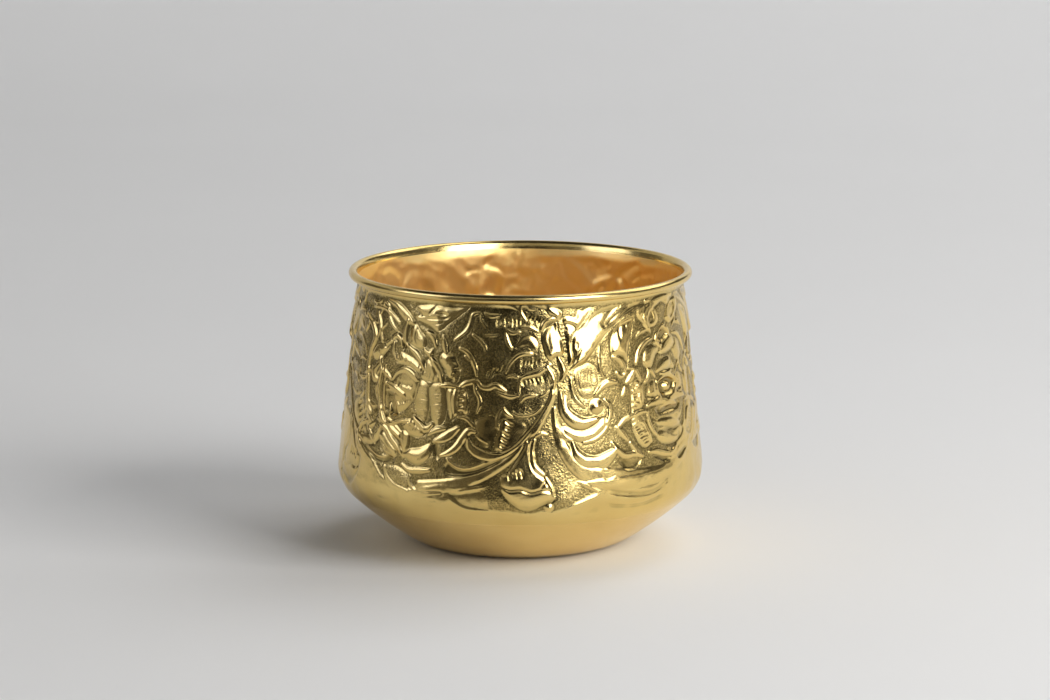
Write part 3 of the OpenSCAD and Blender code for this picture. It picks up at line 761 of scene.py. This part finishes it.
def halving(first, second, count):
    """Triangles between a ring of 2 * count points and one of count points."""
    i = np.arange(count)
    a, b, c = first + 2 * i, first + 2 * i + 1, first + (2 * i + 2) % (2 * count)
    p, q = second + i, second + (i + 1) % count
    return np.concatenate([np.stack([a, b, p], 1), np.stack([b, q, p], 1), np.stack([b, c, q], 1)])


def angles_of(count):
    return np.arange(count) * 2 * np.pi / count


def build_wall(sheet):
    """The wall with its relief, hollow on the inside where it is raised outside, and its rolled edge."""
    h, mat, cavity = full_ring(sheet)
    fine, coarse = 2 * sheet.cols, sheet.cols
    inner_h = 1.35 * soften(h, 0.8, (sheet.dz, sheet.ds))
    rows = []                                   # (points, matting, cavity) from the seam, up, over and down

    def add_row(points, m=0.0, c=0.0, inside=0.0):
        n = len(points)
        rows.append((points, np.broadcast_to(m, n), np.broadcast_to(c, n), np.full(n, inside)))

    wide, narrow = angles_of(fine), angles_of(coarse)
    foot_slope = wall_point(FOOT_Z)[1]
    for q in arc(SHOULDER_C, SHOULDER_R, SEAM + BRAZE_TURN, foot_slope, 1.5)[:-1]:
        add_row(ring(q[0], q[1], wide))
    for i in range(sheet.rows):
        z = FOOT_Z + i * sheet.dz
        r, a = wall_point(z)
        side = out(a)
        add_row(ring(r + h[i] * side[0], z + h[i] * side[1], wide), mat[i], cavity[i])
    head_slope = wall_point(HEAD_Z)[1]
    rim = arc(FLARE_C, -FLARE_R, head_slope, LIP_SLOPE, 2)[1:]
    rim += arc(WIRE_C, -CURL_R, LIP_SLOPE, LIP_SLOPE - CURL, 8)[1:]
    edge = len(rows) + len(rim)
    rim += arc(WIRE_C, -(CURL_R + WALL_T), LIP_SLOPE - CURL, LIP_SLOPE, 8)
    rim += arc(FLARE_C, -(FLARE_R + WALL_T), LIP_SLOPE, head_slope, 2)[1:-1]
    for q in rim:
        add_row(ring(q[0], q[1], narrow))
    for i in range(sheet.rows - 1, -1, -2):
        z = FOOT_Z + i * sheet.dz
        r, a = wall_point(z)
        side = out(a)
        deep = inner_h[i, ::2] - WALL_T
        # The inside's hollows, behind the raised relief, get half of the same darkening: tarnish and
        # painted shade.
        inner_cavity = np.clip((inner_h[i, ::2] - 0.15) / 1.2, 0, 1)
        add_row(ring(r + deep * side[0], z + deep * side[1], narrow), 0.0, 0.5 * inner_cavity, 1.0)
    toe = SEAM + SCARF + BRAZE_TURN
    for q in arc(SHOULDER_C, SHOULDER_R - WALL_T, foot_slope, toe, 1.5)[1:]:
        add_row(ring(q[0], q[1], narrow), inside=1.0)

    firsts = np.concatenate([[0], np.cumsum([len(r[0]) for r in rows])[:-1]])
    faces = []
    for k in range(len(rows)):
        k2 = (k + 1) % len(rows)
        n, n2 = len(rows[k][0]), len(rows[k2][0])
        if n == n2:
            faces.append(strip(firsts[k], firsts[k2], n))
        elif n > n2:
            faces.append(halving(firsts[k], firsts[k2], n2))
        else:
            faces.append(halving(firsts[k2], firsts[k], n)[:, ::-1])
    values = {
        "ground": np.concatenate([r[1] for r in rows]),
        "cavity": np.concatenate([r[2] for r in rows]),
        "inside": np.concatenate([r[3] for r in rows]),
    }
    creases = [(firsts[k], len(rows[k][0])) for k in (0, edge - 1, edge, len(rows) - 1)]
    quads = [f for f in faces if f.shape[1] == 4]
    tris = [f for f in faces if f.shape[1] == 3]
    return new_mesh("wall_embossed", np.concatenate([r[0] for r in rows]), quads + tris, values, creases)


def turned(name, section, count=360, creases=(), lining=None):
    """A closed section turned round the pot's axis. Points from number lining on are on the inside."""
    angles = angles_of(count)
    points, firsts, sizes = [], [], []
    for r, z in section:
        firsts.append(sum(sizes))
        points.append(np.array([[0, 0, z]]) if r == 0 else ring(r, z, angles))
        sizes.append(len(points[-1]))
    quads, tris = [], []
    i = np.arange(count)
    j = (i + 1) % count
    for k in range(len(section)):
        k2 = (k + 1) % len(section)
        if sizes[k] == 1 and sizes[k2] == 1:
            continue
        if sizes[k] == 1:
            tris.append(np.stack([np.full(count, firsts[k]), firsts[k2] + j, firsts[k2] + i], axis=1))
        elif sizes[k2] == 1:
            tris.append(np.stack([firsts[k] + i, firsts[k] + j, np.full(count, firsts[k2])], axis=1))
        else:
            quads.append(strip(firsts[k], firsts[k2], count))
    rows = [(firsts[k], sizes[k]) for k in creases]
    inside = np.zeros(sum(sizes))
    if lining is not None:
        inside[firsts[lining]:] = 1.0
    return new_mesh(name, np.concatenate(points), quads + tris, {"inside": inside}, rows)


def pan_line(d):
    """The pan's section at depth d inside the skin, from the axis to the top of its flange."""
    flat = [np.array([r, d]) for r in (0, 4, 9, 15, 21, 27, 32)]
    side = arc(HEEL_C, HEEL_R - d, 0, SIDE_RISE, 1.5) + arc(SIDE_C, SIDE_R - d, SIDE_RISE, SIDE_END,
                                                            0.4)[1:]
    lap = arc(SHOULDER_C, SHOULDER_R - d, SIDE_END, SEAM, 1.0)[1:]
    return flat + side + lap + arc(SHOULDER_C, SHOULDER_R - d - LAP_IN, SEAM + SCARF, FLANGE, 1.5)


def build_pan():
    outer, inner = pan_line(0), pan_line(PAN_T)
    lap = len(outer) - 1 - math.ceil((FLANGE - SEAM - SCARF) / 1.5)
    n = len(outer)
    creases = (lap - 1, lap, n - 1, n, 2 * n - 1 - lap, 2 * n - lap)
    return turned("base_pan_spun", outer + inner[::-1], creases=creases, lining=n)


def build_braze():
    top = SHOULDER_C + (SHOULDER_R - LAP_IN) * out(FLANGE)
    section = arc(SHOULDER_C, SHOULDER_R, SEAM, SEAM + BRAZE_TURN)
    section += arc(SHOULDER_C, SHOULDER_R - WALL_T, SEAM + SCARF + BRAZE_TURN, FLANGE + SCARF, 1.5)
    section += [top + 0.12 * out(FLANGE + 60), top - FILLET_W * out(FLANGE)]
    section += arc(SHOULDER_C, SHOULDER_R - LAP_IN, SEAM + SCARF, FLANGE, 1.5)[::-1]
    return turned("seam_braze_run", section, creases=(0, 1, 2, len(section) - 1))


# ---------------------------------------------------------------- materials

class Nodes:
    """A material's node tree, with short ways to add a node and join it up."""

    def __init__(self, name):
        self.material = bpy.data.materials.new(name)
        self.material.use_nodes = True
        self.tree = self.material.node_tree
        self.shader = self.tree.nodes["Principled BSDF"]

    def add(self, kind, settings=None, inputs=None):
        """A node. An input given as a socket is linked, and anything else is set."""
        node = self.tree.nodes.new(kind)
        for key, value in (settings or {}).items():
            setattr(node, key, value)
        for key, value in (inputs or {}).items():
            if isinstance(value, bpy.types.NodeSocket):
                self.tree.links.new(value, node.inputs[key])
            else:
                node.inputs[key].default_value = value
        return node

    def join(self, socket, target):
        self.tree.links.new(socket, target)

    def noise(self, vector, scale, detail=3.0, rough=0.55):
        inputs = {"Vector": vector, "Scale": scale, "Detail": detail, "Roughness": rough}
        return self.add("ShaderNodeTexNoise", None, inputs).outputs["Fac"]

    def span(self, value, low, high, to_low=0.0, to_high=1.0):
        inputs = {"Value": value, "From Min": low, "From Max": high, "To Min": to_low, "To Max": to_high}
        return self.add("ShaderNodeMapRange", None, inputs).outputs["Result"]

    def math(self, operation, a, b):
        return self.add("ShaderNodeMath", {"operation": operation}, {0: a, 1: b}).outputs[0]

    def mix(self, factor, a, b):
        node = self.add("ShaderNodeMix", {"data_type": "RGBA"}, {0: factor, 6: a, 7: b})
        return node.outputs[2]


def brass(name, tone, rough=(0.15, 0.25), worked=False, spun=0.0, marks=0.4, paint_inside_glow=False):
    """Polished brass with uneven tone, faint marks of handling and, where worked, chased ground, darkened
    in its hollows and punched pits partly by tarnish and partly by painted shade.
    """
    m = Nodes(name)
    place = m.add("ShaderNodeTexCoord").outputs["Object"]
    broad = m.noise(place, 38, 4)
    fine = m.noise(place, 240, 4)
    light = tuple(min(1.0, c * 1.06) for c in tone) + (1,)
    warm = (tone[0] * 0.98, tone[1] * 0.94, tone[2] * 0.86, 1)
    colour = m.mix(m.span(broad, 0.35, 0.65), warm, light)
    polish = m.span(fine, 0.3, 0.7, rough[0], rough[1])
    streaks = m.add("ShaderNodeMapping", None, {"Vector": place, "Scale": (1.0, 1.0, 9.0)}).outputs[0]
    scratch = m.noise(streaks, 420, 2)
    height = m.math("MULTIPLY", scratch, 0.25 * marks)
    if worked:
        ground = m.add("ShaderNodeAttribute", {"attribute_name": "ground"}).outputs["Fac"]
        cavity = m.add("ShaderNodeAttribute", {"attribute_name": "cavity"}).outputs["Fac"]
        # Dark colour for the hollows and the punched pits: partly tarnish, partly painted shade standing in
        # for the shading of the relief and of the dimples.
        dark = (0.17, 0.125, 0.038, 1)
        pits = m.add("ShaderNodeTexVoronoi", None, {"Vector": place, "Scale": 1500.0}).outputs["Distance"]
        grain = m.noise(place, 1700, 2)
        pitted = m.math("ADD", m.math("MULTIPLY", pits, 0.7), m.math("MULTIPLY", grain, 0.6))
        speckle = m.span(pitted, 0.45, 0.95, 0.9, 0.15)
        tarnish_and_shade = m.math("MULTIPLY", cavity, m.span(fine, 0.25, 0.75, 0.55, 1.0))
        tarnish_and_shade = m.math("ADD", tarnish_and_shade, m.math("MULTIPLY", ground, speckle))
        # Mix in the painted shade and tarnish.
        colour = m.mix(m.span(tarnish_and_shade, 0.05, 0.95, 0.0, 0.85), colour, dark)
        height = m.math("ADD", height, m.math("MULTIPLY", ground, pitted))
        polish = m.math("ADD", polish, m.math("MULTIPLY", ground, 0.06))
    if paint_inside_glow:
        # The inside gets a warmer, brighter, less metallic copy of the brass. Its colour paints in the
        # orange glow of light bouncing round inside the pot.
        inside = m.add("ShaderNodeAttribute", {"attribute_name": "inside"}).outputs["Fac"]
        inside_glow_colour = m.mix(m.span(broad, 0.3, 0.7), (0.95, 0.645, 0.21, 1), (0.97, 0.70, 0.28, 1))
        colour = m.mix(inside, colour, inside_glow_colour)
        polish = m.math("ADD", polish, m.math("MULTIPLY", inside, 0.22))
        m.join(m.span(inside, 0.0, 1.0, 1.0, 0.8), m.shader.inputs["Metallic"])
    if spun:
        rings = m.add("ShaderNodeTexWave", {"wave_type": "RINGS", "rings_direction": "Z"},
                      {"Vector": place, "Scale": 130.0, "Distortion": 1.2, "Detail": 2.0,
                       "Detail Scale": 0.6})
        height = m.math("ADD", height, m.math("MULTIPLY", rings.outputs["Fac"], spun))
    bump = m.add("ShaderNodeBump", None, {"Strength": 0.5, "Distance": 0.00016, "Height": height})
    m.join(bump.outputs[0], m.shader.inputs["Normal"])
    m.join(colour, m.shader.inputs["Base Color"])
    m.join(polish, m.shader.inputs["Roughness"])
    if not paint_inside_glow:
        m.shader.inputs["Metallic"].default_value = 1.0
    return m.material


def painted(name, colour, rough=0.9):
    m = Nodes(name)
    place = m.add("ShaderNodeTexCoord").outputs["Object"]
    tone = m.span(m.noise(place, 3.0, 2), 0.3, 0.7)
    low = tuple(c * 0.985 for c in colour) + (1,)
    m.join(m.mix(tone, low, tuple(colour) + (1,)), m.shader.inputs["Base Color"])
    m.shader.inputs["Roughness"].default_value = rough
    m.shader.inputs["Specular IOR Level"].default_value = 0.2
    return m.material


# ---------------------------------------------------------------- the pot

BRASS = (0.835, 0.622, 0.235)
wall = build_wall(draw_wall())
pan = build_pan()
braze = build_braze()
# The inner surfaces of wall and pan carry the painted inside glow.
wall.data.materials.append(brass("brass_embossed", BRASS, worked=True, paint_inside_glow=True))
pan.data.materials.append(brass("brass_spun", BRASS, rough=(0.17, 0.27), spun=0.12, paint_inside_glow=True))
braze.data.materials.append(brass("brass_spelter", (0.86, 0.68, 0.34), rough=(0.28, 0.42), marks=1.0))
for piece, node, finish in (
    (wall, "wall_shell", "wall_brass"),
    (pan, "base_pan", "pan_brass"),
    (braze, "seam_braze", "braze_spelter"),
):
    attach(piece, "root")
    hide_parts(node)

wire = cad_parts["rim_wire"]
wire_finish = brass("brass_wire", (0.84, 0.60, 0.24), rough=(0.22, 0.36), marks=0.8)
for slot in wire.material_slots:
    slot.material = wire_finish


# ---------------------------------------------------------------- studio

def studio_bowl():
    """A pale floor that curves up into a wall all round."""
    flat_r, curve_r, top_z = 1.5, 1.5, 3.0
    section = [(r, 0.0) for r in (0.0, 0.4, 0.8, 1.2, flat_r)]
    for i in range(1, 13):
        a = math.radians(90 * i / 12)
        section.append((flat_r + curve_r * math.sin(a), curve_r * (1 - math.cos(a))))
    section.append((flat_r + curve_r, top_z))
    n = 96
    points = [(0.0, 0.0, 0.0)]
    for r, z in section[1:]:
        for i in range(n):
            a = 2 * math.pi * i / n
            points.append((r * math.cos(a), r * math.sin(a), z))
    faces = [(0, 1 + i, 1 + (i + 1) % n) for i in range(n)]
    for k in range(len(section) - 2):
        a, b = 1 + k * n, 1 + (k + 1) * n
        faces += [(a + i, b + i, b + (i + 1) % n, a + (i + 1) % n) for i in range(n)]
    mesh = bpy.data.meshes.new("studio_bowl")
    mesh.from_pydata(points, [], faces)
    mesh.polygons.foreach_set("use_smooth", [True] * len(faces))
    bowl = bpy.data.objects.new("studio_bowl", mesh)
    bpy.context.collection.objects.link(bowl)
    bowl.data.materials.append(painted("studio_paper", (0.80, 0.80, 0.80)))
    return bowl


def aim(item, place, target):
    """Puts a light or card at place, facing target."""
    item.location = place
    item.rotation_euler = (Vector(target) - Vector(place)).to_track_quat("-Z", "Y").to_euler()


def area_light(name, place, target, size, power, colour=(1, 1, 1)):
    data = bpy.data.lights.new(name, "AREA")
    data.shape = "RECTANGLE"
    data.size, data.size_y = size
    data.energy = power
    data.color = colour
    item = bpy.data.objects.new(name, data)
    bpy.context.collection.objects.link(item)
    aim(item, place, target)
    item.visible_camera = False
    return item


def card(name, azimuths, section, strength, colour=(1, 1, 1), steps=12):
    """A card bent round the pot, seen only in reflections. Azimuth 0 is the front.

    The section is a list of (radius, height) in metres.
    """
    points, faces = [], []
    n = len(section)
    for i in range(steps + 1):
        a = math.radians(azimuths[0] + (azimuths[1] - azimuths[0]) * i / steps)
        points += [(r * math.sin(a), -r * math.cos(a), z) for r, z in section]
    for i in range(steps):
        for k in range(n - 1):
            faces.append((n * i + k, n * i + k + 1, n * (i + 1) + k + 1, n * (i + 1) + k))
    mesh = bpy.data.meshes.new(name)
    mesh.from_pydata(points, [], faces)
    item = bpy.data.objects.new(name, mesh)
    bpy.context.collection.objects.link(item)
    m = Nodes(name)
    m.shader.inputs["Base Color"].default_value = (0.01, 0.01, 0.01, 1)
    m.shader.inputs["Roughness"].default_value = 1.0
    m.shader.inputs["Specular IOR Level"].default_value = 0.0
    m.shader.inputs["Emission Color"].default_value = tuple(colour) + (1,)
    m.shader.inputs["Emission Strength"].default_value = strength
    mesh.materials.append(m.material)
    item.visible_camera = False
    item.visible_diffuse = False
    item.visible_shadow = False
    item.visible_transmission = False
    item.visible_volume_scatter = False
    return item


studio_bowl()
area_light("overhead", (1.6, 1.3, 2.3), (0.0, 1.1, 0), (2.4, 2.8), 34)
window = area_light("window", (1.35, -0.85, 0.8), (0, 0, 0.05), (1.1, 1.1), 30, (1.0, 0.985, 0.96))
window.visible_glossy = False
wash = area_light("backdrop_wash", (1.4, 1.9, 2.6), (1.1, 3.0, 0.7), (1.6, 0.8), 12)
wash.visible_glossy = False
card("dark_room", (-20, 17), [(0.75, 0.16), (0.75, 0.42)], 0.008, (1.0, 0.95, 0.85))
card("dark_left", (-50, -20), [(0.75, 0.16), (0.75, 0.42)], 0.09, (1.0, 0.95, 0.85))
card("dark_floor", (-20, 24), [(0.26, 0.003), (0.72, 0.003), (0.75, 0.161)], 0.008, (1.0, 0.95, 0.85))
card("dark_table", (-50, -20), [(0.185, 0.003), (0.72, 0.003), (0.75, 0.161)], 0.09, (1.0, 0.95, 0.85))
card("window_glow", (18, 56), [(1.15, 0.145), (1.15, 0.7), (0.95, 1.05)], 6.5, (0.97, 1.0, 1.12))
card("under_window", (24, 57), [(0.55, 0.003), (1.15, 0.02), (1.15, 0.14)], 0.15, (1.0, 0.97, 0.9))
card("side_floor", (68, 106), [(0.8, 0.003), (1.19, 0.02), (1.19, 0.11)], 0.12, (1.0, 0.97, 0.9))
card("side_glow", (57, 84), [(1.2, 0.12), (1.2, 0.24)], 0.6, (1.0, 0.98, 0.93))
card("room_side", (57, 150), [(1.2, 0.25), (1.2, 0.72)], 0.06, (1.0, 0.97, 0.9))
card("left_glow", (-88, -51), [(1.2, 0.3), (1.15, 0.75)], 2.1, (0.92, 0.98, 1.3))
card("left_gap", (-88, -51), [(1.2, 0.15), (1.2, 0.29)], 0.35, (1.0, 0.97, 0.9))
card("left_dusk", (-126, -89), [(0.85, 0.003), (1.2, 0.02), (1.2, 0.6)], 0.09, (1.0, 0.97, 0.9))

scene = bpy.context.scene
world = bpy.data.worlds.new("studio_air")
scene.world = world
world.use_nodes = True
world.node_tree.nodes["Background"].inputs["Color"].default_value = (0.95, 0.97, 1.0, 1)
world.node_tree.nodes["Background"].inputs["Strength"].default_value = 0.03
scene.view_settings.view_transform = "Standard"

lens = bpy.data.cameras.new("camera")
lens.sensor_width = 36.0
lens.lens = 117.23
camera = bpy.data.objects.new("camera", lens)
bpy.context.collection.objects.link(camera)
camera.location = (0.0, -1.3772, 0.3426)
camera.rotation_euler = Euler((math.radians(90 - 10.883), 0, math.radians(-0.079)), "XYZ")
scene.camera = camera
